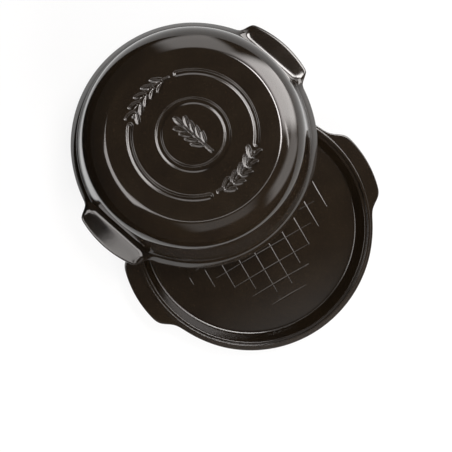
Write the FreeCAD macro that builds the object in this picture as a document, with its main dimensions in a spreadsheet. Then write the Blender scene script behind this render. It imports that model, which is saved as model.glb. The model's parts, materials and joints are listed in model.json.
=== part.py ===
import FreeCAD, Part
import math
import operator
import os
import Sketcher

# A bread cloche: a shallow round dish and a domed lid, each fired in one piece with its two lug handles.
# Millimetres, Z up, origin at the middle of the dish's foot, X through the dish's handles.
# The lid is off: it leans on the dish's rim, with its far edge on the table.

DRIVING_SIZES = {
    # both halves
    "rim_radius": 147.5,
    "lug_length": 15.0,
    "lug_root_half_width": 46.5,
    "lug_tip_narrowing": 4.5,
    "lug_tip_corner": 6.0,
    "wall": 8.0,
    "cut_overrun": 2.0,
    # the dish, from its rim inwards
    "dish_height": 28.0,
    "flange_drop": 1.0,
    "flange_thickness": 12.0,
    "flange_overhang": 6.5,
    "flange_round": 3.0,
    "lug_root_fillet": 9.0,
    "lip_setback": 3.3,
    "lip_width": 3.2,
    "ledge_drop": 4.0,
    "ledge_width": 3.5,
    "dish_wall_run": 8.5,
    "floor_thickness": 8.0,
    "floor_corner": 4.0,
    "foot_setback": 14.5,
    "foot_ring_width": 16.0,
    "foot_recess": 1.5,
    "score_pitch": 21.0,
    "score_width": 1.6,
    "score_depth": 0.8,
    # the lid, from its spigot upwards
    "closed_height": 140.0,
    "spigot_drop": 3.5,
    "spigot_clearance": 0.6,
    "collar_band": 15.0,
    "collar_round": 2.5,
    "collar_flare": 6.0,
    "collar_flare_height": 10.0,
    "crease_depth": 2.0,
    "crease_height": 2.0,
    "wall_draft": 10.0,
    "shoulder_round": 38.0,
    "shoulder_slope": 18.0,
    "top_setback": 47.5,
    "top_edge_round": 12.0,
    "ceiling_round": 32.0,
    "lug_flat_setback": 15.2,
    "lug_valley_round": 4.0,
    "lug_top_height": 18.0,
    "lug_thickness": 11.0,
    "lug_edge_round": 2.5,
    "groove_width": 7.0,
    "groove_depth": 1.3,
    "ring_radius": 39.2,
    "arc_radius": 72.5,
    "arc_span": 113.5,
    # where the lid leans
    "lid_offset": 122.0,
    "lid_bearing": 95.0,
    "lid_turn": 18.3,
    "rest_gap": 0.3,
}

# Half length of each scored line, counted from the middle outwards, as shares of the pitch.
SCORE_HALF_LENGTH_SHARES = (4.0, 3.2, 2.55, 1.9, 1.15)
# The lines lie half a pitch off the middle, so that a square is at the centre.
SCORE_FIRST_PLACE_SHARE = 0.5
# How much of its wall's length a large rounding may take, and of a lug's length the roundings at its ends.
ROUND_LIMIT_SHARE = 0.9
LUG_ROOT_ROUND_SHARE = 0.6
LUG_TIP_ROUND_SHARE = 0.4
SIDES = (1, -1)
# The lid's lean settles in a few steps.
LEAN_ATTEMPTS = 12

doc = FreeCAD.newDocument("bread_cloche")
sheet = doc.addObject("Spreadsheet::Sheet", "Sizes")
for row, (alias, number) in enumerate(DRIVING_SIZES.items(), start=1):
    sheet.set(f"A{row}", alias)
    sheet.set(f"B{row}", str(number))
    sheet.setAlias(f"B{row}", alias)
doc.recompute()


class Size:
    """A length or angle: its number, and the sheet formula that gives it."""

    def __init__(self, value, formula):
        self.value = value
        self.formula = formula

    def worked(self, other, sign, work, swapped=False):
        if not isinstance(other, Size):
            other = Size(other, repr(other))
        first, second = (other, self) if swapped else (self, other)
        return Size(work(first.value, second.value), f"({first.formula} {sign} {second.formula})")

    def __add__(self, other):
        return self.worked(other, "+", operator.add)

    def __radd__(self, other):
        return self.worked(other, "+", operator.add, swapped=True)

    def __sub__(self, other):
        return self.worked(other, "-", operator.sub)

    def __rsub__(self, other):
        return self.worked(other, "-", operator.sub, swapped=True)

    def __mul__(self, other):
        return self.worked(other, "*", operator.mul)

    def __rmul__(self, other):
        return self.worked(other, "*", operator.mul, swapped=True)

    def __truediv__(self, other):
        return self.worked(other, "/", operator.truediv)


def size(alias):
    return Size(float(sheet.get(alias)), f"Sizes.{alias}")


def tangent(angle):
    return Size(math.tan(math.radians(angle.value)), f"tan({angle.formula})")


def cosine(angle):
    return Size(math.cos(math.radians(angle.value)), f"cos({angle.formula})")


def sine(angle):
    return Size(math.sin(math.radians(angle.value)), f"sin({angle.formula})")


def least(first, second):
    return Size(min(first.value, second.value), f"min({first.formula}; {second.formula})")


def number_of(length):
    return length.value if isinstance(length, Size) else length


# Sizes that follow from the sheet's

overrun = size("cut_overrun")
rim = size("rim_radius")
lug_reach = rim + size("lug_length")
lug_root_half = size("lug_root_half_width")
lug_tip_half = lug_root_half - size("lug_tip_narrowing")
lug_flat = rim - size("lug_flat_setback")
lug_tip_corner = least(size("lug_tip_corner"), LUG_TIP_ROUND_SHARE * size("lug_length"))
lip_radius = rim - size("lip_setback")
step_radius = lip_radius - size("lip_width")
ledge_radius = step_radius - size("ledge_width")
floor_radius = ledge_radius - size("dish_wall_run")
foot_radius = rim - size("foot_setback")

# The lid's own frame has its zero height where the collar sits on the dish's rim.
lid_height = size("closed_height") - size("dish_height")
spigot_bottom = -1 * size("spigot_drop")
spigot_radius = step_radius - size("spigot_clearance")
neck_radius = rim - size("collar_flare")
neck_height = size("collar_band") + size("collar_flare_height")
wall_foot = neck_radius - size("crease_depth")
wall_foot_height = neck_height + size("crease_height")
wall_lean = tangent(size("wall_draft"))
hollow_radius = wall_foot - size("wall") / cosine(size("wall_draft"))

# Two lengths closer than this are the same place.
SAME = size("rest_gap").value / 10


# Sketches: every corner is tied to the sheet

def sketch_on(body, role, name, height=None):
    plane = next(feature for feature in body.Origin.OriginFeatures if feature.Role == role)
    sketch = body.newObject("Sketcher::SketchObject", name)
    sketch.AttachmentSupport = [(plane, "")]
    sketch.MapMode = "FlatFace"
    if height is not None:
        sketch.setExpression("AttachmentOffset.Base.z", height.formula)
    return sketch


def tie(sketch, constraint, length):
    index = sketch.addConstraint(constraint)
    sketch.setExpression(f"Constraints[{index}]", length.formula)


def pin(sketch, geometry, end, x=None, y=None):
    for kind, axis, length in (("DistanceX", -2, x), ("DistanceY", -1, y)):
        if length is None:
            continue
        if number_of(length) == 0:
            sketch.addConstraint(Sketcher.Constraint("PointOnObject", geometry, end, axis))
        else:
            tie(sketch, Sketcher.Constraint(kind, -1, 1, geometry, end, length.value), length)


def closed_loop(sketch, corners):
    first = sketch.GeometryCount
    count = len(corners)
    spots = [FreeCAD.Vector(number_of(x), number_of(y), 0) for x, y in corners]
    for place, spot in enumerate(spots):
        sketch.addGeometry(Part.LineSegment(spot, spots[(place + 1) % count]))
    for place in range(count):
        after = first + (place + 1) % count
        sketch.addConstraint(Sketcher.Constraint("Coincident", first + place, 2, after, 1))
    for place, (x, y) in enumerate(corners):
        pin(sketch, first + place, 1, x, y)


def lug_plan(sketch, side):
    # Two straight sides that draw in towards the tip, and a tip that follows the rim.
    reach, root, tip = lug_reach, lug_root_half, lug_tip_half
    inner = side * lug_flat
    tip_x = side * math.sqrt(reach.value ** 2 - tip.value ** 2)
    near = FreeCAD.Vector(inner.value, -root.value, 0)
    far = FreeCAD.Vector(inner.value, root.value, 0)
    near_tip = FreeCAD.Vector(tip_x, -tip.value, 0)
    far_tip = FreeCAD.Vector(tip_x, tip.value, 0)
    middle = FreeCAD.Vector(side * reach.value, 0, 0)
    first, arc, third, last = range(sketch.GeometryCount, sketch.GeometryCount + 4)
    sketch.addGeometry(Part.LineSegment(near, near_tip))
    sketch.addGeometry(Part.Arc(near_tip, middle, far_tip))
    sketch.addGeometry(Part.LineSegment(far_tip, far))
    sketch.addGeometry(Part.LineSegment(far, near))
    near_end, far_end = (1, 2) if side > 0 else (2, 1)
    sketch.addConstraint(Sketcher.Constraint("Coincident", first, 2, arc, near_end))
    sketch.addConstraint(Sketcher.Constraint("Coincident", arc, far_end, third, 1))
    sketch.addConstraint(Sketcher.Constraint("Coincident", third, 2, last, 1))
    sketch.addConstraint(Sketcher.Constraint("Coincident", last, 2, first, 1))
    sketch.addConstraint(Sketcher.Constraint("Coincident", arc, 3, -1, 1))
    tie(sketch, Sketcher.Constraint("Radius", arc, reach.value), reach)
    pin(sketch, first, 1, inner, -1 * root)
    pin(sketch, third, 2, inner, root)
    pin(sketch, first, 2, y=-1 * tip)
    pin(sketch, third, 1, y=tip)


# Features

def turned(body, kind, sketch, name):
    feature = body.newObject(kind, name)
    feature.Profile = sketch
    feature.ReferenceAxis = (sketch, ["V_Axis"])
    feature.Angle = 360
    return settled(body, feature)


def extruded(body, kind, sketch, name, length, both_ways=False, reverse=False):
    feature = body.newObject(kind, name)
    feature.Profile = sketch
    feature.SideType = "Symmetric" if both_ways else "One side"
    feature.Reversed = reverse
    feature.setExpression("Length", length.formula)
    return settled(body, feature)


def settled(body, feature):
    # A cut has to take material away, and anything else has to add some.
    doc.recompute()
    before = feature.BaseFeature.Shape.Volume if feature.BaseFeature else 0
    change = feature.Shape.Volume - before
    cuts = feature.TypeId in ("PartDesign::Pocket", "PartDesign::Groove")
    if (change >= 0) if cuts else (change <= 0):
        raise RuntimeError(f"{body.Label}: {feature.Label} changes nothing")
    return feature


def rounded(body, feature, name, radius, wanted):
    edges = [f"Edge{place}" for place, edge in enumerate(feature.Shape.Edges, start=1) if wanted(edge)]
    if not edges:
        raise RuntimeError(f"{body.Label}: {name} finds no edge")
    fillet = body.newObject("PartDesign::Fillet", name)
    fillet.Base = (feature, edges)
    fillet.setExpression("Radius", radius.formula)
    doc.recompute()
    return fillet


def spread(edge):
    return edge.discretize(Number=5)


def near(number, length):
    return abs(number - length.value) < SAME


def ring_edge(radius, height):
    def wanted(edge):
        return all(near(math.hypot(p.x, p.y), radius) and near(p.z, height) for p in spread(edge))
    return wanted


def upright_edge(radius):
    def wanted(edge):
        points = spread(edge)
        low, high = points[0], points[-1]
        straight = math.hypot(high.x - low.x, high.y - low.y) < SAME
        return straight and near(math.hypot(low.x, low.y), radius)
    return wanted


def outer_edge(radius, height):
    def wanted(edge):
        points = spread(edge)
        level = all(near(p.z, height) for p in points)
        return level and all(math.hypot(p.x, p.y) > radius.value - SAME for p in points)
    return wanted


def lug_edge(radius, height):
    # From the collar out round the tip; the line where the lug meets the collar isn't one.
    def wanted(edge):
        points = spread(edge)
        reach = [math.hypot(p.x, p.y) for p in points]
        level = all(near(p.z, height) for p in points)
        return level and min(reach) > radius.value - SAME and max(reach) > rim.value + SAME
    return wanted


def cross_edge(distance, height):
    def wanted(edge):
        return all(near(abs(p.x), distance) and near(p.z, height) for p in spread(edge))
    return wanted


# The dish

def make_dish():
    body = doc.addObject("PartDesign::Body", "dish_body")
    body.Label = "base"
    height = size("dish_height")
    flange_top = height - size("flange_drop")
    flange_bottom = flange_top - size("flange_thickness")
    ring = foot_radius - size("foot_ring_width")
    recess = size("foot_recess")

    outside = sketch_on(body, "XZ_Plane", "dish_outside")
    closed_loop(outside, [
        (0, recess),
        (ring, recess),
        (ring, 0),
        (foot_radius, 0),
        (rim - size("flange_overhang"), flange_bottom),
        (rim, flange_bottom),
        (rim, flange_top),
        (lip_radius, flange_top),
        (lip_radius, height),
        (0, height),
    ])
    turned(body, "PartDesign::Revolution", outside, "dish_blank")

    lugs = sketch_on(body, "XY_Plane", "dish_lug_plan", flange_bottom)
    for side in SIDES:
        lug_plan(lugs, side)
    feature = extruded(body, "PartDesign::Pad", lugs, "dish_lugs", size("flange_thickness"))
    root_fillet = least(size("lug_root_fillet"), LUG_ROOT_ROUND_SHARE * size("lug_length"))
    feature = rounded(body, feature, "dish_lug_roots", root_fillet, upright_edge(rim))
    feature = rounded(body, feature, "dish_lug_tips", lug_tip_corner, upright_edge(lug_reach))
    for name, level in (("flange_top_round", flange_top), ("flange_bottom_round", flange_bottom)):
        feature = rounded(body, feature, name, size("flange_round"), outer_edge(rim, level))

    floor = size("floor_thickness")
    ledge = height - size("ledge_drop")
    inside = sketch_on(body, "XZ_Plane", "dish_inside")
    closed_loop(inside, [
        (0, floor),
        (floor_radius, floor),
        (ledge_radius, ledge),
        (step_radius, ledge),
        (step_radius, height + overrun),
        (0, height + overrun),
    ])
    feature = turned(body, "PartDesign::Groove", inside, "dish_hollow")
    corner = ring_edge(floor_radius, floor)
    rounded(body, feature, "floor_corner", size("floor_corner"), corner)

    # Two crossing sets of scored lines on the floor, in a rounded diamond
    pitch, half = size("score_pitch"), size("score_width") / 2
    for name, across in (("score_across", True), ("score_along", False)):
        lines = sketch_on(body, "XY_Plane", name, floor)
        for place, share in enumerate(SCORE_HALF_LENGTH_SHARES):
            middle = (place + SCORE_FIRST_PLACE_SHARE) * pitch
            end = share * pitch
            for side in SIDES:
                low, high = side * middle - half, side * middle + half
                corners = [(low, -1 * end), (high, -1 * end), (high, end), (low, end)]
                closed_loop(lines, corners if across else [(y, x) for x, y in corners])
        extruded(body, "PartDesign::Pocket", lines, f"{name}_cut", size("score_depth"))
    return body


# The lid

def make_lid_outside():
    body = doc.addObject("PartDesign::Body", "lid_outside")
    top, slope = rim - size("top_setback"), tangent(size("shoulder_slope"))
    # The wall and the sloping shoulder run on to one sharp corner, which is then rounded.
    rise = lid_height - wall_foot_height + top * slope
    shoulder = (wall_foot - rise * wall_lean) / (1 - wall_lean * slope)
    shoulder_height = lid_height - (shoulder - top) * slope
    turn = (90 - size("wall_draft") - size("shoulder_slope")) / 2
    shoulder_room = ROUND_LIMIT_SHARE * (shoulder - top) / tangent(turn)

    profile = sketch_on(body, "XZ_Plane", "lid_profile")
    closed_loop(profile, [
        (0, spigot_bottom),
        (spigot_radius, spigot_bottom),
        (spigot_radius, 0),
        (rim, 0),
        (rim, size("collar_band")),
        (neck_radius, neck_height),
        (wall_foot, wall_foot_height),
        (shoulder, shoulder_height),
        (top, lid_height),
        (0, lid_height),
    ])
    feature = turned(body, "PartDesign::Revolution", profile, "lid_blank")
    feature = rounded(body, feature, "shoulder", least(size("shoulder_round"), shoulder_room),
                      ring_edge(shoulder, shoulder_height))
    feature = rounded(body, feature, "top_edge", size("top_edge_round"), ring_edge(top, lid_height))
    rounded(body, feature, "collar_edge", size("collar_round"), ring_edge(rim, 0 * rim))

    # The lugs are level, and the wall behind them is cut flat to make room for fingers.
    lug_top = size("lug_top_height")
    lug_under = lug_top - size("lug_thickness")
    plan = sketch_on(body, "XY_Plane", "lid_lug_plan", lug_under)
    for side in SIDES:
        lug_plan(plan, side)
    feature = extruded(body, "PartDesign::Pad", plan, "lid_lugs", size("lug_thickness"))
    feature = rounded(body, feature, "lid_lug_tips", lug_tip_corner, upright_edge(lug_reach))
    for name, level in (("lug_top_round", lug_top), ("lug_under_round", lug_under)):
        feature = rounded(body, feature, name, size("lug_edge_round"), lug_edge(neck_radius, level))
    past = lug_reach + overrun
    flats = sketch_on(body, "XZ_Plane", "lug_flats")
    for side in SIDES:
        closed_loop(flats, [
            (side * lug_flat, lid_height),
            (side * lug_flat, lug_top),
            (side * past, lug_top),
            (side * past, lid_height),
        ])
    feature = extruded(body, "PartDesign::Pocket", flats, "lug_flat_cut", 2 * lug_root_half, both_ways=True)
    rounded(body, feature, "lug_valleys", size("lug_valley_round"), cross_edge(lug_flat, lug_top))
    return body


def make_lid_hollow():
    body = doc.addObject("PartDesign::Body", "lid_hollow")
    ceiling = lid_height - size("wall")
    hollow_top = hollow_radius - (ceiling - wall_foot_height) * wall_lean
    profile = sketch_on(body, "XZ_Plane", "hollow_profile")
    closed_loop(profile, [
        (0, spigot_bottom - overrun),
        (hollow_radius, spigot_bottom - overrun),
        (hollow_radius, wall_foot_height),
        (hollow_top, ceiling),
        (0, ceiling),
    ])
    feature = turned(body, "PartDesign::Revolution", profile, "hollow_blank")
    rounded(body, feature, "ceiling_edge", size("ceiling_round"), ring_edge(hollow_top, ceiling))
    # The wall keeps its thickness behind the flats.
    flat = lug_flat - size("wall")
    flats = sketch_on(body, "XZ_Plane", "hollow_flats")
    for side in SIDES:
        closed_loop(flats, [
            (side * flat, 0),
            (side * (hollow_radius + overrun), 0),
            (side * (hollow_radius + overrun), ceiling),
            (side * flat, ceiling),
        ])
    extruded(body, "PartDesign::Pocket", flats, "hollow_flat_cut", 2 * hollow_radius, both_ways=True)
    return body


def make_engraving():
    # Round-bottomed grooves in the lid's top: a ring, and two arcs over the handles.
    half, depth = size("groove_width") / 2, size("groove_depth")
    bead = (half * half + depth * depth) / (2 * depth)
    level = lid_height + bead - depth
    span = size("arc_span")
    cutters = []

    def groove(name, radius, sweep, start):
        cutter = doc.addObject("Part::Torus", name)
        cutter.setExpression("Radius1", radius.formula)
        cutter.setExpression("Radius2", bead.formula)
        cutter.setExpression("Angle3", sweep.formula)
        cutter.setExpression("Placement.Rotation.Angle", start.formula)
        cutter.setExpression("Placement.Base.z", level.formula)
        cutters.append(cutter)

    def groove_end(name, radius, angle):
        cutter = doc.addObject("Part::Sphere", name)
        cutter.setExpression("Radius", bead.formula)
        cutter.setExpression("Placement.Base.x", (radius * cosine(angle)).formula)
        cutter.setExpression("Placement.Base.y", (radius * sine(angle)).formula)
        cutter.setExpression("Placement.Base.z", level.formula)
        cutters.append(cutter)

    full_turn = Size(360, "360")
    groove("ring_groove", size("ring_radius"), full_turn, 0 * span)
    for name, middle in (("right", 0), ("left", 180)):
        groove(f"{name}_arc_groove", size("arc_radius"), span, middle - span / 2)
        for end, side in zip(("late", "early"), SIDES):
            groove_end(f"{name}_arc_{end}_end", size("arc_radius"), middle + side * span / 2)
    engraving = doc.addObject("Part::MultiFuse", "engraving")
    engraving.Shapes = cutters
    return engraving


def lid_rest():
    # The spigot's lower edge stands on the table at the back and on the dish's lip at two places.
    offset, gap = size("lid_offset").value, size("rest_gap").value
    lip, edge = lip_radius.value, spigot_radius.value
    crossing = (lip ** 2 + offset ** 2 - hollow_radius.value ** 2) / (2 * offset)
    lean = 0
    for attempt in range(LEAN_ATTEMPTS):
        lean = math.atan2(size("dish_height").value, offset - crossing + edge * math.cos(lean))
    bearing = size("lid_bearing").value
    turn = FreeCAD.Rotation(FreeCAD.Vector(0, 0, 1), bearing)
    turn = turn * FreeCAD.Rotation(FreeCAD.Vector(0, 1, 0), math.degrees(lean))
    turn = turn * FreeCAD.Rotation(FreeCAD.Vector(0, 0, 1), size("lid_turn").value - bearing)
    foot = FreeCAD.Vector(
        offset * math.cos(math.radians(bearing)),
        offset * math.sin(math.radians(bearing)),
        gap + edge * math.sin(lean),
    )
    return FreeCAD.Placement(foot - turn.multVec(FreeCAD.Vector(0, 0, spigot_bottom.value)), turn)


def make_lid():
    shell = doc.addObject("Part::Cut", "lid_shell")
    shell.Base = make_lid_outside()
    shell.Tool = make_lid_hollow()
    lid = doc.addObject("Part::Cut", "lid_body")
    lid.Base = shell
    lid.Tool = make_engraving()
    lid.Label = "lid"
    lid.Placement = lid_rest()
    return lid


pieces = [make_dish(), make_lid()]
doc.recompute()

faults = [thing.Name for thing in doc.Objects if {"Invalid", "Error"} & set(thing.State)]
if faults:
    raise RuntimeError(f"not built: {faults}")
for piece in pieces:
    if piece.Shape.isNull() or not piece.Shape.isValid() or len(piece.Shape.Solids) != 1:
        raise RuntimeError(f"{piece.Label} is not one sound solid")
os.makedirs("parts", exist_ok=True)
for piece in pieces:
    print(piece.Label, round(piece.Shape.Volume), piece.Shape.BoundBox)
    piece.Shape.exportStep(f"parts/{piece.Label}.step")
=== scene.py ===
import bmesh
import bpy
import json
import math
import numpy as np
from mathutils import Matrix, Vector

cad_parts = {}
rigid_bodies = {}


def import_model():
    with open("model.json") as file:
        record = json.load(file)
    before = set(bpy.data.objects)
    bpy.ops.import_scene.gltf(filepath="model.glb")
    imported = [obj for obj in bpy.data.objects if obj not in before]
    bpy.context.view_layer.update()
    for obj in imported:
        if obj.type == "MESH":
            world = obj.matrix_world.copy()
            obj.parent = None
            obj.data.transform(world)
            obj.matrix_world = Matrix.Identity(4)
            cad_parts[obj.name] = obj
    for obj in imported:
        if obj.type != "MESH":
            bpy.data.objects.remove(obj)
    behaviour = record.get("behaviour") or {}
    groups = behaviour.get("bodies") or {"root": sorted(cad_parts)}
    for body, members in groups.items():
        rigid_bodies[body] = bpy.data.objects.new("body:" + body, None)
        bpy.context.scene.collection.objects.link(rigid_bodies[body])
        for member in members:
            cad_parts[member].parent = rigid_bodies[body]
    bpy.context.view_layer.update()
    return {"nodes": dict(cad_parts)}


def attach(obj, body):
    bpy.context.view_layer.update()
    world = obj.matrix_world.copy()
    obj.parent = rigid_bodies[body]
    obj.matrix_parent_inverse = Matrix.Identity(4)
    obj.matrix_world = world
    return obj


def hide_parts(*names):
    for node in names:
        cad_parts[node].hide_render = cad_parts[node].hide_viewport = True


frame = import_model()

# Bread cloche: a shallow dish and a domed lid in dark glazed stoneware.
# The lid is taken off and leans on the dish.
# Sizes in the dictionaries are millimetres; the meshes are metres, in the frame of the loaded model.

mm = 0.001
print("frame loaded:", sorted(frame["nodes"]))


# small helpers

def deselectAll():
    if bpy.context.object and bpy.context.object.mode != "OBJECT":
        bpy.ops.object.mode_set(mode="OBJECT")
    bpy.ops.object.select_all(action="DESELECT")


def takePiece(piece):
    deselectAll()
    piece.select_set(True)
    bpy.context.view_layer.objects.active = piece


def selectPoints(piece, wanted):  # edit mode: exactly the points for which wanted(x, y, z) in mm holds
    mesh = bmesh.from_edit_mesh(piece.data)
    for point in mesh.verts:
        point.select = wanted(*(point.co / mm))
    mesh.select_mode = {"VERT"}
    mesh.select_flush_mode()
    bmesh.update_edit_mesh(piece.data)


def turnProfile(name, profile, columns):
    # one point is drawn out along the profile, then spun round the upright axis
    deselectAll()
    bpy.ops.mesh.primitive_plane_add(size=mm, location=(0, 0, 0))
    piece = bpy.context.object
    piece.name = name
    piece.data.name = name
    bpy.ops.object.mode_set(mode="EDIT")
    bpy.ops.mesh.select_mode(type="VERT")
    bpy.ops.mesh.select_all(action="SELECT")
    bpy.ops.mesh.merge(type="CENTER")
    bpy.ops.transform.translate(value=(profile[0][0] * mm, 0, profile[0][1] * mm))
    for (r0, z0), (r1, z1) in zip(profile, profile[1:]):
        step = ((r1 - r0) * mm, 0, (z1 - z0) * mm)
        bpy.ops.mesh.extrude_region_move(TRANSFORM_OT_translate={"value": step})
    bpy.ops.mesh.select_all(action="SELECT")
    bpy.ops.mesh.spin(steps=columns, angle=math.tau, center=(0, 0, 0), axis=(0, 0, 1))
    bpy.ops.mesh.select_all(action="SELECT")
    bpy.ops.mesh.remove_doubles(threshold=0.01 * mm)
    bpy.ops.mesh.normals_make_consistent(inside=False)
    return piece


def arcPoints(centre, radius, start, stop, steps):
    # points of a round stretch of a profile, angles in degrees
    angles = [math.radians(start + (stop - start) * step / steps) for step in range(steps + 1)]
    return [(centre[0] + radius * math.cos(a), centre[1] + radius * math.sin(a)) for a in angles]


def drawLugs(piece, rings):
    # each ring of the rim is pulled out to its place on the lugs, on both sides at once
    for (r0, z0), (r1, z1), narrowing in rings:
        def onLug(x, y, z):
            near = abs(math.hypot(x, y) - r0) < ringSpread and abs(z - z0) < ringSpread
            return near and abs(math.degrees(math.atan2(y, abs(x)))) < lugHalf
        selectPoints(piece, onLug)
        out = r1 / r0
        bpy.ops.transform.resize(value=(out, out * narrowing, 1), center_override=(0, 0, 0))
        bpy.ops.transform.translate(value=(0, 0, (z1 - z0) * mm))


def soften(piece):
    takePiece(piece)
    smooth = piece.modifiers.new("soft", "SUBSURF")
    smooth.levels = smooth.render_levels = smoothLevels
    bpy.ops.object.modifier_apply(modifier=smooth.name)


def readPoints(piece):
    points = np.empty(len(piece.data.vertices) * 3)
    piece.data.vertices.foreach_get("co", points)
    return points.reshape(-1, 3) / mm


def writePoints(piece, points):
    piece.data.vertices.foreach_set("co", (points * mm).ravel())
    piece.data.update()


def softLeast(a, b, blend):  # the lesser of two lengths, with a rounded change-over
    share = np.clip(0.5 + 0.5 * (b - a) / blend, 0, 1)
    return b + (a - b) * share - blend * share * (1 - share)


def easeIn(value, low, high):
    share = np.clip((value - low) / (high - low), 0, 1)
    return share * share * (3 - 2 * share)


def turnInto(x, y, angle):  # the same places along axes turned by angle
    return x * math.cos(angle) + y * math.sin(angle), -x * math.sin(angle) + y * math.cos(angle)


# the glaze

def hexToLinear(code):
    parts = [int(code[i:i + 2], 16) / 255 for i in (1, 3, 5)]
    return [c / 12.92 if c <= 0.04045 else ((c + 0.055) / 1.055) ** 2.4 for c in parts] + [1]


def addNode(tree, kind, settings=None, inputs=None):
    # settings are the node's own fields; an input is a value or another node's output
    node = tree.nodes.new(kind)
    for field, value in (settings or {}).items():
        setattr(node, field, value)
    for socket, value in (inputs or {}).items():
        if isinstance(value, bpy.types.NodeSocket):
            tree.links.new(value, node.inputs[socket])
        else:
            node.inputs[socket].default_value = value
    return node


def addMath(tree, operation, a, b):
    return addNode(tree, "ShaderNodeMath", {"operation": operation}, {0: a, 1: b}).outputs[0]


def addNoise(tree, place, size, detail, roughness):
    return addNode(tree, "ShaderNodeTexNoise", {"noise_dimensions": "3D"},
                   {"Vector": place, "Scale": 1 / (size * mm), "Detail": detail,
                    "Roughness": roughness}).outputs["Fac"]


def freshTree(owner):
    owner.use_nodes = True
    owner.node_tree.nodes.clear()
    return owner.node_tree


glaze = {
    "dark": "#140f0b",
    "light": "#201910",
    "speck": "#35291d",
    "clay": "#8d8072",
    "roughness": 0.09,
    "ior": 1.52,
    # each noise: size in mm, detail, roughness
    "cloud": (35, 3, 0.55),  # slow drift of the colour
    "grit": (1.1, 2, 0.6),  # iron specks, drawn coarse enough to show
    "peel": (5, 1, 0.4),  # orange peel of the melted glaze
    "speckRange": (0.56, 0.72),  # levels of the grit where a speck begins and is full
    "speckShare": 0.55,
    "cloudRange": (0.3, 0.7),
    "sheenSpread": 0.15,  # how much the clouds change the roughness, as a share
    "peelDepth": 0.008,
    "dryFoot": (116.5, 133.5, 0.4),  # inner and outer radius and height of the wiped foot ring
    "dryRoughness": 0.85,
}


def makeGlaze():
    # Stoneware with a dark brown fired glaze, melted smooth: a deep, wet gloss with sharp mirrored lights,
    # a brown-black body colour that clouds slowly, fine iron specks, and a faint orange peel.
    material = bpy.data.materials.new("stoneware_fired_dark_brown_glaze")
    tree = freshTree(material)
    place = addNode(tree, "ShaderNodeTexCoord").outputs["Object"]
    cloud, grit, peel = [addNoise(tree, place, *glaze[name]) for name in ("cloud", "grit", "peel")]
    tone = addNode(tree, "ShaderNodeMix", {"data_type": "RGBA"},
                   {"Factor": cloud, "A": hexToLinear(glaze["dark"]), "B": hexToLinear(glaze["light"])})
    speckLow, speckHigh = glaze["speckRange"]
    spot = addNode(tree, "ShaderNodeMapRange", {"interpolation_type": "SMOOTHSTEP"},
                   {"Value": grit, "From Min": speckLow, "From Max": speckHigh,
                    "To Min": 0, "To Max": glaze["speckShare"]})
    flecked = addNode(tree, "ShaderNodeMix", {"data_type": "RGBA"},
                      {"Factor": spot.outputs["Result"], "A": tone.outputs["Result"],
                       "B": hexToLinear(glaze["speck"])})
    # the foot ring is wiped dry before firing, so the bare clay shows there
    split = addNode(tree, "ShaderNodeSeparateXYZ", None, {"Vector": place})
    flat = addNode(tree, "ShaderNodeCombineXYZ", None, {"X": split.outputs["X"], "Y": split.outputs["Y"]})
    out = addNode(tree, "ShaderNodeVectorMath", {"operation": "LENGTH"},
                  {"Vector": flat.outputs["Vector"]}).outputs["Value"]
    inner, outer, height = [size * mm for size in glaze["dryFoot"]]
    ring = addMath(tree, "MULTIPLY", addMath(tree, "GREATER_THAN", out, inner),
                   addMath(tree, "LESS_THAN", out, outer))
    dry = addMath(tree, "MULTIPLY", addMath(tree, "LESS_THAN", split.outputs["Z"], height), ring)
    colour = addNode(tree, "ShaderNodeMix", {"data_type": "RGBA"},
                     {"Factor": dry, "A": flecked.outputs["Result"], "B": hexToLinear(glaze["clay"])})
    cloudLow, cloudHigh = glaze["cloudRange"]
    sheen = addNode(tree, "ShaderNodeMapRange", None,
                    {"Value": cloud, "From Min": cloudLow, "From Max": cloudHigh,
                     "To Min": glaze["roughness"] * (1 - glaze["sheenSpread"]),
                     "To Max": glaze["roughness"] * (1 + glaze["sheenSpread"])})
    rough = addNode(tree, "ShaderNodeMix", {"data_type": "FLOAT"},
                    {"Factor": dry, "A": sheen.outputs["Result"], "B": glaze["dryRoughness"]})
    bump = addNode(tree, "ShaderNodeBump", None,
                   {"Strength": 1, "Distance": glaze["peelDepth"] * mm, "Height": peel})
    surface = addNode(tree, "ShaderNodeBsdfPrincipled", None,
                      {"Base Color": colour.outputs["Result"], "Roughness": rough.outputs["Result"],
                       "IOR": glaze["ior"], "Normal": bump.outputs["Normal"]})
    addNode(tree, "ShaderNodeOutputMaterial", None, {"Surface": surface.outputs["BSDF"]})
    return material


glazeMaterial = makeGlaze()
print("glaze ready")


def finishPiece(piece, node, body, sharpAngle):
    takePiece(piece)
    piece.data.materials.clear()
    piece.data.materials.append(glazeMaterial)
    bpy.ops.object.shade_smooth_by_angle(angle=math.radians(sharpAngle))
    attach(piece, body)
    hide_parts(node)
    sides = sum(len(face.vertices) - 2 for face in piece.data.polygons)
    print(piece.name, "made,", sides, "triangles")


# both pieces are smoothed from a coarse cage
columns = 60  # points round each cage
smoothLevels = 2
fullRound = 1 / (2 / 3 + math.cos(math.tau / columns) / 3)  # a cage lies a little outside the round it makes
ringSpread = 0.2  # how near a point is to a ring that it belongs to
lugHalf = 19  # degrees, the columns that belong to a lug before they slide
stillColumns = [42, 90]  # degrees, columns that stay where they are


def shapeCage(name, profile, sizes):
    # the turned profile, with its lugs drawn out
    piece = turnProfile(name, profile, columns)
    drawLugs(piece, sizes["lug"])
    bpy.ops.mesh.select_all(action="SELECT")
    bpy.ops.transform.resize(value=(fullRound, fullRound, 1), center_override=(0, 0, 0))
    bpy.ops.object.mode_set(mode="OBJECT")
    slideColumns(piece, sizes["columns"], *sizes["slides"])
    return piece


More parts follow.
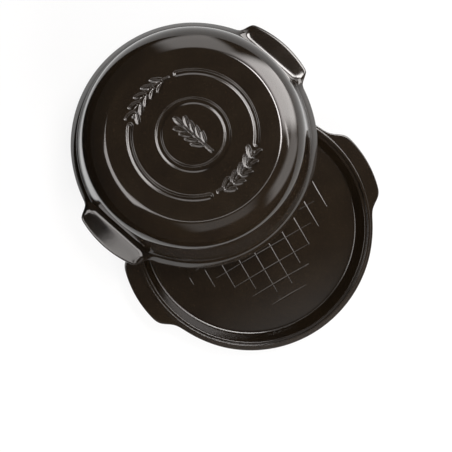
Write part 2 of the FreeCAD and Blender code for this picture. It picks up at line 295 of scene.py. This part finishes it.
def slideColumns(piece, table, nearest, low, high):
    # the columns beside a lug slide round the rim, so that its ends are firm: degrees from, degrees to
    points = readPoints(piece)
    x, y, z = points.T
    reach = np.hypot(x, y)
    chosen = (reach > nearest) & (z > low) & (z < high)
    angle = np.degrees(np.arctan2(y, np.abs(x)))
    old = [0] + list(table.keys()) + stillColumns
    new = [0] + list(table.values()) + stillColumns
    turned = np.radians(np.sign(angle) * np.interp(np.abs(angle), old, new))
    side = np.where(x < 0, -1, 1)
    points[chosen, 0] = (side * reach * np.cos(turned))[chosen]
    points[chosen, 1] = (reach * np.sin(turned))[chosen]
    writePoints(piece, points)


# the dish

dish = {
    "floor": [(0, 8), (30, 8), (60, 8), (90, 8), (112, 8), (121, 8)],
    "wall": [(125.5, 8), (128.9, 8), (130.2, 9.9), (131.6, 12.8), (134.6, 18.4), (136.4, 21.8)],
    "ledge": [(137.5, 23.9), (138.2, 24), (139.5, 24), (140.4, 24), (141, 24), (141, 24.7)],
    "lip": [(141, 26.6), (141, 27.6), (141.3, 28), (142, 28), (143.3, 28), (144, 28), (144.3, 27.7),
            (144.3, 27.1)],
    "rim": [(144.6, 27), (145.3, 27), (146.3, 27), (147.5, 27), (147.5, 23.8), (147.5, 18.2), (147.5, 15),
            (145.8, 15), (143.6, 15)],
    "under": [(141.2, 15), (140.6, 13.9), (137.4, 8), (134, 1.7), (133.2, 0.5), (132.6, 0)],
    "foot": [(130, 0), (125, 0), (119, 0), (117.4, 0), (117, 0.4), (117, 1.1), (116.6, 1.5)],
    "bottom": [(114, 1.5), (80, 1.5), (40, 1.5), (0, 1.5)],
    # where the rim's rings go on the lugs, and how the lug narrows there
    "lug": [((145.3, 27), (149, 27), 0.97), ((146.3, 27), (160, 27), 0.89),
            ((147.5, 27), (162.5, 27), 0.875), ((147.5, 23.8), (162.5, 24.4), 0.875),
            ((147.5, 18.2), (162.5, 19), 0.875), ((147.5, 15), (162.5, 15), 0.875),
            ((145.8, 15), (158.4, 15), 0.9), ((143.6, 15), (149, 15), 0.97)],
    # columns that slide, in degrees from and to, where reach is over the first of "slides" and
    # the height is between the others
    "columns": {6: 6.5, 12: 13.0, 18: 17.2, 24: 20.4, 30: 26.5, 36: 34.5},
    "slides": (144.9, -1, 29),
    "sharp": 35,  # degrees
    # the scored floor
    "pitch": 21,
    "scoreWidth": 2.4,
    "scoreDepth": 0.62,
    "scoreEnd": 0.35,  # share of the width and depth that is left at a line's ends
    "scoreFirst": 0.5,  # the first line's distance from the middle, in pitches
    # half length of each line, from the middle outwards, in pitches
    "scoreShares": (4.0, 3.2, 2.55, 1.9, 1.15),
    "scoreBand": (6.4, 8.01),  # heights between which a line's edges lie
    "scoreSharp": 12,  # degrees
}


def makeDish():
    sections = ("floor", "wall", "ledge", "lip", "rim", "under", "foot", "bottom")
    profile = [point for section in sections for point in dish[section]]
    piece = shapeCage("dish_glazed", profile, dish)
    soften(piece)
    scoreFloor(piece)
    sharpenScores(piece)
    finishPiece(piece, "base", "dish", dish["sharp"])


def makeRod(off, length, turn):
    # a four-sided rod lying in the floor, thinner at its ends
    floor = dish["floor"][0][1]
    half = dish["scoreWidth"] / 2
    deselectAll()
    bpy.ops.mesh.primitive_cylinder_add(
        vertices=4, radius=half * mm, depth=length * mm, end_fill_type="NGON")
    rod = bpy.context.object
    bpy.ops.object.mode_set(mode="EDIT")
    bpy.ops.mesh.select_all(action="DESELECT")
    mesh = bmesh.from_edit_mesh(rod.data)
    for edge in mesh.edges:  # the long edges get a point half way
        edge.select = abs(edge.verts[0].co.z - edge.verts[1].co.z) > length / 2 * mm
    bmesh.update_edit_mesh(rod.data)
    bpy.ops.mesh.subdivide(number_cuts=1)
    selectPoints(rod, lambda x, y, z: abs(z) > length / 4)
    end = dish["scoreEnd"]
    bpy.ops.transform.resize(value=(end, end, 1), center_override=(0, 0, 0))
    bpy.ops.mesh.select_all(action="SELECT")
    bpy.ops.transform.resize(value=(dish["scoreDepth"] / half, 1, 1), center_override=(0, 0, 0))
    bpy.ops.object.mode_set(mode="OBJECT")
    rod.rotation_euler = (0, math.pi / 2, turn)
    spot = (0, off, floor) if turn == 0 else (off, 0, floor)
    rod.location = [c * mm for c in spot]
    bpy.ops.object.transform_apply(location=True, rotation=True, scale=False)
    return rod


def scoreFloor(piece):
    # two crossing sets of lines pressed into the floor, in a rounded diamond
    rods = []
    for turn in (0, math.pi / 2):
        for place, share in enumerate(dish["scoreShares"]):
            for side in (1, -1):
                off = side * (place + dish["scoreFirst"]) * dish["pitch"]
                rods.append(makeRod(off, 2 * share * dish["pitch"], turn))
    deselectAll()
    for rod in rods:
        rod.select_set(True)
    bpy.context.view_layer.objects.active = rods[0]
    bpy.ops.object.join()
    cutter = bpy.context.object
    takePiece(piece)
    cut = piece.modifiers.new("score", "BOOLEAN")
    cut.operation = "DIFFERENCE"
    cut.solver = "EXACT"
    cut.use_self = True
    cut.object = cutter
    bpy.ops.object.modifier_apply(modifier=cut.name)
    bpy.data.objects.remove(cutter)


def sharpenScores(piece):
    low, high = dish["scoreBand"]
    bpy.ops.object.mode_set(mode="EDIT")
    bpy.ops.mesh.select_mode(type="EDGE")
    mesh = bmesh.from_edit_mesh(piece.data)
    for edge in mesh.edges:
        scored = all(low * mm < point.co.z < high * mm for point in edge.verts)
        edge.select = scored and edge.calc_face_angle(0) > math.radians(dish["scoreSharp"])
    bmesh.update_edit_mesh(piece.data)
    bpy.ops.mesh.mark_sharp()
    bpy.ops.object.mode_set(mode="OBJECT")


makeDish()


# the lid, made upright in its own frame and then leant on the dish

lid = {
    "ceiling": [(0, 104), (30, 104), (60, 104), (82, 104)],
    "ceilingArc": ((90.95, 72), 32, 90, 10, 5),
    "inside": [(126.6, 54), (129.8, 36), (131.2, 26), (131.38, 14), (131.38, 3), (131.38, -2.2)],
    "spigot": [(131.8, -3.5), (133.2, -3.5), (138.6, -3.5), (140, -3.5), (140.4, -2.6), (140.4, -0.8),
               (140.4, 0)],
    "collar": [(141.1, 0), (143.2, 0), (147.5, 0), (147.5, 4), (147.5, 7), (147.5, 11), (147.5, 14.4),
               (147.25, 15.3), (146.6, 16.4), (144.4, 20.2), (142.3, 23.7)],
    "wall": [(140.7, 25.9), (139.6, 26.9), (139.2, 28.5), (138.6, 32), (137.2, 40), (135.3, 51),
             (132.6, 66), (131, 75)],
    "shoulder": ((92.542, 74.467), 38, 10, 72, 6),
    "top": [(101.9, 111.4), (99.6, 112), (97.6, 112)],
    "discStep": 6.8,  # distance between the rings of the flat top
    # where the collar's rings go on the lugs, and how the lug narrows there
    "lug": [((147.5, 4), (148.6, 6.2), 0.99), ((147.5, 7), (162.5, 7), 0.875),
            ((147.5, 11), (162.5, 13.5), 0.875), ((147.5, 14.4), (162.5, 18), 0.875),
            ((147.25, 15.3), (160, 18), 0.89), ((146.6, 16.4), (150, 18), 0.97)],
    # columns that slide, as on the dish
    "columns": {6: 6.5, 12: 13.0, 18: 17.0, 24: 19.4, 30: 25.5, 36: 34.0},
    "slides": (138.4, -0.5, 33),
    # upright edges at a lug's tip and root that stay firm: reach from and to, degrees from and to
    "firmEdges": (((155, 170), (14.5, 17)), ((146.5, 149.5), (18.8, 20.5))),
    "firmness": 0.35,
    "firmFrom": 2,  # height
    # the valley behind each lug: each ring goes to a straight line, at (distance, height)
    "valley": [((144.4, 20.2), (142.5, 18)), ((142.3, 23.7), (138.6, 18.1)), ((140.7, 25.9), (135.8, 19)),
               ((139.6, 26.9), (133.9, 20.8)), ((139.2, 28.5), (132.7, 23.4)), ((138.6, 32), (132.3, 28))],
    "valleyDepth": 3.7,  # how far the valleys come in past the middle of the wall
    "valleyEnd": (30, 42),  # heights between which a valley runs out
    # the flats over the lugs
    "flat": 132.3,
    "innerFlat": 124.3,
    "flatSoft": 2.5,  # width of the rounded change from the flat to the round wall
    "flatFull": 45,  # height from which that change is full
    "innerFoot": (0, 8),  # heights between which the inner flat begins
    "leastSoft": 0.01,
    "wallThickness": 8,
    "draft": 10,  # degrees
    "height": 112,
    "sharp": 50,  # degrees
}


def makeLidShape():
    profile = list(lid["ceiling"]) + arcPoints(*lid["ceilingArc"])
    for section in ("inside", "spigot", "collar", "wall"):
        profile += lid[section]
    profile += arcPoints(*lid["shoulder"]) + lid["top"]
    edge = lid["top"][-1][0]
    steps = int(edge / lid["discStep"])
    profile += [(edge * (steps - step) / steps, lid["height"]) for step in range(1, steps + 1)]
    piece = shapeCage("lid_glazed", profile, lid)
    drawValleys(piece)
    firmCorners(piece)
    soften(piece)
    return piece


def drawValleys(piece):
    # behind each lug the rings of the collar and of the wall's foot are pressed straight and let down
    takePiece(piece)
    bpy.ops.object.mode_set(mode="EDIT")
    for (r0, z0), (distance, height) in lid["valley"]:
        for side in (1, -1):
            def inValley(x, y, z):
                off = abs(math.hypot(x, y) - r0 * fullRound)
                near = off < ringSpread and abs(z - z0) < ringSpread
                return near and abs(math.degrees(math.atan2(y, side * x))) < lugHalf
            selectPoints(piece, inValley)
            bpy.ops.transform.resize(value=(0, 1, 1), center_override=(side * distance * mm, 0, 0))
            bpy.ops.transform.translate(value=(0, 0, (height - z0) * mm))
    bpy.ops.object.mode_set(mode="OBJECT")


def firmCorners(piece):
    # creases keep the upright edges of the lugs from melting away in the smoothing
    takePiece(piece)
    bpy.ops.object.mode_set(mode="EDIT")
    for (near, far), (low, high) in lid["firmEdges"]:
        def onEdge(x, y, z):
            angle = abs(math.degrees(math.atan2(y, abs(x))))
            return near < math.hypot(x, y) < far and low < angle < high and z > lid["firmFrom"]
        selectPoints(piece, onEdge)
        bpy.ops.transform.edge_crease(value=lid["firmness"])
    bpy.ops.object.mode_set(mode="OBJECT")


def pressFlats(piece):
    # the wall over each lug is pressed flat, outside and inside
    points = readPoints(piece)
    x, y, z = points.T
    reach = np.hypot(x, y)
    foot, footHeight = lid["wall"][1]
    # half way through the wall, and nearer its inside down in the valley
    slope = math.tan(math.radians(lid["draft"]))
    middle = foot - np.maximum(z - footHeight, 0) * slope - lid["wallThickness"] / 2
    middle -= lid["valleyDepth"] * (1 - easeIn(z, *lid["valleyEnd"]))
    inside, over = reach < middle, (reach > middle) & (z > footHeight)
    soft = lid["flatSoft"] * easeIn(z, footHeight, lid["flatFull"]) + lid["leastSoft"]
    outer = softLeast(np.abs(x), lid["flat"], soft)
    inner = softLeast(np.abs(x), lid["innerFlat"], lid["flatSoft"])
    far = np.where(over, outer, np.abs(x))
    far = np.where(inside, np.abs(x) + (inner - np.abs(x)) * easeIn(z, *lid["innerFoot"]), far)
    points[:, 0] = np.sign(x) * far
    writePoints(piece, points)


# the engraving in the lid's top

engraving = {
    "depth": 1.3,
    "wall": 1.3,  # width of the sloping sides of a groove
    "ring": (39.2, 7.6),  # radius and width
    "arc": (72.5, 6.4, 56.75),  # radius, width and half span in degrees
    "fineRadius": 90,  # the part of the top that gets finer faces
    "topBand": 0.4,  # how far under the full height a place still belongs to the top
    "stemShare": 0.8,  # depth of a stem beside that of a groove
    "grainSlope": 0.75,  # share of a grain's half width that slopes
    # grains along the half span, from start over reach; angles in degrees
    "sprig": {"radius": 71, "half": 26, "grains": 5, "start": -0.55, "reach": 1.5, "length": 14,
              "width": 6.2, "lean": 30, "off": 4.6, "stem": 1.9},
    "ear": {"foot": -29, "first": -10, "last": 15, "tip": 7, "pairs": 4, "length": 15, "width": 7,
            "lean": 30, "off": 5.6, "stem": 2, "turn": 90},
}
farOff = 99  # a distance that no groove reaches


def grooveDepth(distance, half):
    # flat-bottomed groove with soft sides; distance is from its middle line
    return easeIn(half - distance, 0, engraving["wall"]) * engraving["depth"]


def grainDepth(x, y, spot, angle, length, width):
    # a grain of wheat, pointed at both ends
    u, v = turnInto(x - spot[0], y - spot[1], angle)
    along = np.clip(np.abs(u) / (length / 2), 0, 1)
    half = width / 2 * np.sqrt(np.clip(1 - along ** 2, 0, 1))
    inside = np.clip(1 - np.abs(v) / np.maximum(half, 1e-6), 0, 1) * (np.abs(u) < length / 2)
    return easeIn(inside, 0, engraving["grainSlope"]) * engraving["depth"]


def onTop(x, y, z):
    return (z > lid["height"] - engraving["topBand"]) & (np.hypot(x, y) < engraving["fineRadius"])


def engraveTop(piece):
    takePiece(piece)
    bpy.ops.object.mode_set(mode="EDIT")
    bpy.ops.mesh.select_mode(type="FACE")
    mesh = bmesh.from_edit_mesh(piece.data)
    for face in mesh.faces:
        spot = face.calc_center_median() / mm
        face.select = bool(onTop(*spot))
    mesh.select_flush_mode()
    bmesh.update_edit_mesh(piece.data)
    bpy.ops.mesh.subdivide(number_cuts=1)
    bpy.ops.object.mode_set(mode="OBJECT")

    points = readPoints(piece)
    top = onTop(*points.T)
    x, y = points[top, 0], points[top, 1]
    reach, angle = np.hypot(x, y), np.arctan2(y, x)
    ringRadius, ringWidth = engraving["ring"]
    depth = grooveDepth(np.abs(reach - ringRadius), ringWidth / 2)
    arcRadius, arcWidth, arcHalf = engraving["arc"]
    # angle from the nearer handle, and the distance from the arc or from its round end
    fromHandle = np.abs(np.abs(angle) - np.pi * (np.abs(angle) > np.pi / 2))
    end = math.radians(arcHalf)
    past = np.hypot(reach * np.cos(fromHandle - end) - arcRadius, reach * np.sin(fromHandle - end))
    off = np.where(fromHandle < end, np.abs(reach - arcRadius), past)
    depth = np.maximum(depth, grooveDepth(off, arcWidth / 2))
    depth = np.maximum(depth, sprigDepth(x, y))
    depth = np.maximum(depth, earDepth(x, y))
    points[top, 2] -= depth
    writePoints(piece, points)


def sprigDepth(x, y):
    # a sprig of wheat along the circle in each gap between the arcs
    sprig = engraving["sprig"]
    depth = 0 * x
    reach, angle = np.hypot(x, y), np.arctan2(y, x)
    for middle in (math.pi / 2, -math.pi / 2):
        off = (angle - middle + math.pi) % math.tau - math.pi
        half = math.radians(sprig["half"])
        stem = np.where(np.abs(off) < half, np.abs(reach - sprig["radius"]), farOff)
        depth = np.maximum(depth, grooveDepth(stem, sprig["stem"]) * engraving["stemShare"])
        for grain in range(sprig["grains"]):
            share = sprig["start"] + sprig["reach"] * grain / (sprig["grains"] - 1)
            at = middle + half * share
            for side in (1, -1):
                radius = sprig["radius"] + side * sprig["off"]
                spot = (radius * math.cos(at), radius * math.sin(at))
                lean = at + math.pi / 2 - side * math.radians(sprig["lean"])
                depth = np.maximum(depth, grainDepth(x, y, spot, lean, sprig["length"], sprig["width"]))
    return depth


def earDepth(x, y):
    # an upright ear of wheat inside the ring
    ear = engraving["ear"]
    u, v = turnInto(x, y, math.radians(ear["turn"]))
    stem = np.where((u > ear["foot"]) & (u < ear["last"]), np.abs(v), farOff)
    depth = grooveDepth(stem, ear["stem"]) * engraving["stemShare"]
    for pair in range(ear["pairs"]):
        at = ear["first"] + (ear["last"] - ear["first"]) * pair / (ear["pairs"] - 1)
        for side in (1, -1):
            lean = side * math.radians(ear["lean"])
            spot = (at, side * ear["off"])
            depth = np.maximum(depth, grainDepth(u, v, spot, lean, ear["length"], ear["width"]))
    tip = (ear["last"] + ear["tip"], 0)
    return np.maximum(depth, grainDepth(u, v, tip, 0, ear["length"], ear["width"]))


# where the lid leans: its spigot stands on the table at the back and on the dish's lip at two places
rest = {"offset": 122, "bearing": 95, "turn": 18.3, "gap": 0.3, "lip": 144.2, "lipHeight": 28,
        "spigot": 140.4, "spigotDrop": 3.5, "hollow": 131.3766, "rounds": 12}


def lidRest():
    offset, edge = rest["offset"], rest["spigot"]
    crossing = (rest["lip"] ** 2 + offset ** 2 - rest["hollow"] ** 2) / (2 * offset)
    lean = 0
    for attempt in range(rest["rounds"]):
        lean = math.atan2(rest["lipHeight"], offset - crossing + edge * math.cos(lean))
    bearing = math.radians(rest["bearing"])
    turn = Matrix.Rotation(bearing, 4, "Z") @ Matrix.Rotation(lean, 4, "Y")
    turn = turn @ Matrix.Rotation(math.radians(rest["turn"]) - bearing, 4, "Z")
    height = rest["gap"] + edge * math.sin(lean)
    foot = Vector((offset * math.cos(bearing), offset * math.sin(bearing), height))
    foot += turn @ Vector((0, 0, rest["spigotDrop"]))
    return Matrix.Translation(foot * mm) @ turn


def makeLid():
    piece = makeLidShape()
    pressFlats(piece)
    engraveTop(piece)
    piece.data.transform(lidRest())
    finishPiece(piece, "lid", "cover", lid["sharp"])


makeLid()


# floor, light and camera

studio = {
    "floorSize": 8,  # metres
    "floorColour": "#f4f4f4",
    "roomColour": "#1c1b1a",
    "shadeShare": 0.12,  # how much of the floor's own shading the camera sees
    "worldColour": (1, 0.98, 0.95, 1),
    "worldStrength": 0.06,
    "aim": (-10, 70, 60),  # the panels face this place
    "lampPower": 4,  # watts for each square metre at brightness 1
    # lamps far off: tilt from upright towards X and Y in degrees, distance and size in metres, brightness
    "panels": {
        "softbox": ((23, 13), 1.5, (0.42, 0.9), 19),
        "core_panel": ((65.7, 21.3), 1.7, (2.2, 1.6), 7),
        "side_panel": ((56.7, -47.9), 1.7, (1.9, 1.2), 1.7),
        "top_panel": ((46.5, 63.2), 1.7, (1.2, 2.0), 2.0),
        "front_panel": ((-8, -27.5), 1.7, (1.4, 1.0), 0.6),
        "score_panel": ((21, -59.3), 1.7, (1.4, 0.9), 1.4),
        "thin_strip": ((47, -14), 1.6, (0.1, 0.5), 8),
        "fill": ((-10, -58), 1.7, (1.2, 1.2), 10),
    },
    "panelFade": 0.25,  # share of a lamp's width over which it fades at each edge
    # lamps overhead: low and high corners in metres, brightness
    "overhead": {
        "front_strip": ((-0.33, 0.06), (0.25, 0.165), 3),
        "lug_strip": ((-0.33, 0.165), (-0.15, 0.315), 3.6),
        "left_strip": ((-0.85, 0.08), (-0.34, 0.75), 5),
    },
    "overheadHeight": 1.03,
    "stripFade": 0.05,
    "tint": (1, 0.96, 0.94),
    # reflectors, which show in the glaze but add no light of their own
    "mirroredOnly": ("core_panel", "front_panel", "score_panel", "left_strip"),
    "unmirrored": ("fill",),  # a far, broad light that the glaze doesn't show
    "onlyFor": {"score_panel": "dish_glazed"},  # a panel flagged off from everything but this piece
    # the glaze mirrors a white card under the object and a dark room beyond:
    # the directions and distances of the card's left and front edges
    "card": (((0.862, -0.498, 0), -0.26), ((0.504, 0.862, 0), -0.27)),
}


def makeFloor():
    deselectAll()
    bpy.ops.mesh.primitive_plane_add(size=studio["floorSize"], location=(0, 0, 0))
    floor = bpy.context.object
    floor.name = "floor"
    material = bpy.data.materials.new("white_sweep")
    tree = freshTree(material)
    rays = addNode(tree, "ShaderNodeLightPath").outputs
    place = addNode(tree, "ShaderNodeTexCoord").outputs["Object"]
    off = 0  # 1 off the card
    for direction, edge in studio["card"]:
        along = addNode(tree, "ShaderNodeVectorMath", {"operation": "DOT_PRODUCT"}, {0: place, 1: direction})
        off = addMath(tree, "MAXIMUM", off, addMath(tree, "LESS_THAN", along.outputs["Value"], edge))
    dark = addMath(tree, "MULTIPLY", rays["Is Glossy Ray"], off)
    seen = addMath(tree, "MAXIMUM", rays["Is Camera Ray"], rays["Is Glossy Ray"])
    seen = addMath(tree, "MAXIMUM", seen, rays["Is Transmission Ray"])
    share = addMath(tree, "MULTIPLY", seen, 1 - studio["shadeShare"])
    matte = addNode(tree, "ShaderNodeBsdfDiffuse", None, {"Color": hexToLinear(studio["floorColour"])})
    glow = addNode(tree, "ShaderNodeEmission", None, {"Color": (1, 1, 1, 1), "Strength": 1})
    mixed = addNode(tree, "ShaderNodeMixShader", None, {0: share, 1: matte.outputs[0], 2: glow.outputs[0]})
    room = addNode(tree, "ShaderNodeBsdfDiffuse", None, {"Color": hexToLinear(studio["roomColour"])})
    mixed = addNode(tree, "ShaderNodeMixShader", None, {0: dark, 1: mixed.outputs[0], 2: room.outputs[0]})
    addNode(tree, "ShaderNodeOutputMaterial", None, {"Surface": mixed.outputs[0]})
    floor.data.materials.append(material)


def makeWorld():
    world = bpy.data.worlds.new("studio")
    bpy.context.scene.world = world
    tree = freshTree(world)
    rays = addNode(tree, "ShaderNodeLightPath").outputs
    dim = addNode(tree, "ShaderNodeBackground", None,
                  {"Color": studio["worldColour"], "Strength": studio["worldStrength"]})
    white = addNode(tree, "ShaderNodeBackground", None, {"Color": (1, 1, 1, 1), "Strength": 1})
    mixed = addNode(tree, "ShaderNodeMixShader", None,
                    {0: rays["Is Camera Ray"], 1: dim.outputs[0], 2: white.outputs[0]})
    addNode(tree, "ShaderNodeOutputWorld", None, {"Surface": mixed.outputs[0]})


def hangLamp(name, place, away, size, brightness, fade):
    # a flat lamp facing against "away", its first side along X
    lamp = bpy.data.lights.new(name, "AREA")
    lamp.shape = "RECTANGLE"
    lamp.size, lamp.size_y = size
    lamp.energy = brightness * studio["lampPower"] * size[0] * size[1]
    lamp.color = studio["tint"]
    tree = freshTree(lamp)
    # the cloth of a lamp is brightest in its middle and fades to its edges
    across = addNode(tree, "ShaderNodeNewGeometry").outputs["Parametric"]
    split = addNode(tree, "ShaderNodeSeparateXYZ", None, {"Vector": across})
    fades = []
    for axis in "XY":
        near = addMath(tree, "PINGPONG", split.outputs[axis], 0.5)  # from either edge to the middle
        soft = addNode(tree, "ShaderNodeMapRange", {"interpolation_type": "SMOOTHSTEP"},
                       {"Value": near, "From Min": 0, "From Max": fade})
        fades.append(soft.outputs["Result"])
    cloth = addNode(tree, "ShaderNodeEmission", None, {"Strength": addMath(tree, "MULTIPLY", *fades)})
    addNode(tree, "ShaderNodeOutputLight", None, {"Surface": cloth.outputs[0]})
    panel = bpy.data.objects.new(name, lamp)
    bpy.context.scene.collection.objects.link(panel)
    along = (Vector((1, 0, 0)) - away * away.x).normalized()
    turn = Matrix((along, away.cross(along), away)).transposed()
    panel.matrix_world = Matrix.Translation(place) @ turn.to_4x4()
    panel.visible_diffuse = name not in studio["mirroredOnly"]
    panel.visible_glossy = name not in studio["unmirrored"]
    if name in studio["onlyFor"]:
        lit = bpy.data.collections.new(name)
        lit.objects.link(bpy.data.objects[studio["onlyFor"][name]])
        panel.light_linking.receiver_collection = lit


def makePanels():
    centre = Vector(studio["aim"]) * mm
    for name, (tilt, distance, size, brightness) in studio["panels"].items():
        away = Vector([math.tan(math.radians(angle)) for angle in tilt] + [1]).normalized()
        hangLamp(name, centre + away * distance, away, size, brightness, studio["panelFade"])
    for name, (low, high, brightness) in studio["overhead"].items():
        middle = Vector(((low[0] + high[0]) / 2, (low[1] + high[1]) / 2, studio["overheadHeight"]))
        size = (high[0] - low[0], high[1] - low[1])
        hangLamp(name, middle, Vector((0, 0, 1)), size, brightness, studio["stripFade"])


camera = {
    "azimuth": 29.67,  # degrees
    "elevation": 96.29,
    "roll": -59.83,
    "target": (-26.1, 19.9, 30),
    "distance": 2000,
    "focal": 1660.9,  # in pixels of a frame that is "frame" pixels wide
    "frame": 452,
    "sensor": 36,
    "clipEnd": 50,  # metres
}


def makeCamera():
    az, el, roll = [math.radians(camera[name]) for name in ("azimuth", "elevation", "roll")]
    back = Vector((math.sin(az) * math.cos(el), -math.cos(az) * math.cos(el), math.sin(el)))
    right = Vector((math.cos(az), math.sin(az), 0))
    up = back.cross(right)
    cosine, sine = math.cos(roll), math.sin(roll)
    right, up = cosine * right + sine * up, cosine * up - sine * right
    lens = bpy.data.cameras.new("camera")
    eye = bpy.data.objects.new("camera", lens)
    bpy.context.scene.collection.objects.link(eye)
    spot = Vector(camera["target"]) + back * camera["distance"]
    eye.matrix_world = Matrix.Translation(spot * mm) @ Matrix((right, up, back)).transposed().to_4x4()
    lens.sensor_width = camera["sensor"]
    lens.lens = lens.sensor_width * camera["focal"] / camera["frame"]
    lens.clip_end = camera["clipEnd"]
    bpy.context.scene.camera = eye


makeFloor()
makeWorld()
makePanels()
makeCamera()
bpy.context.scene.view_settings.view_transform = "Standard"
print("studio set")

deselectAll()
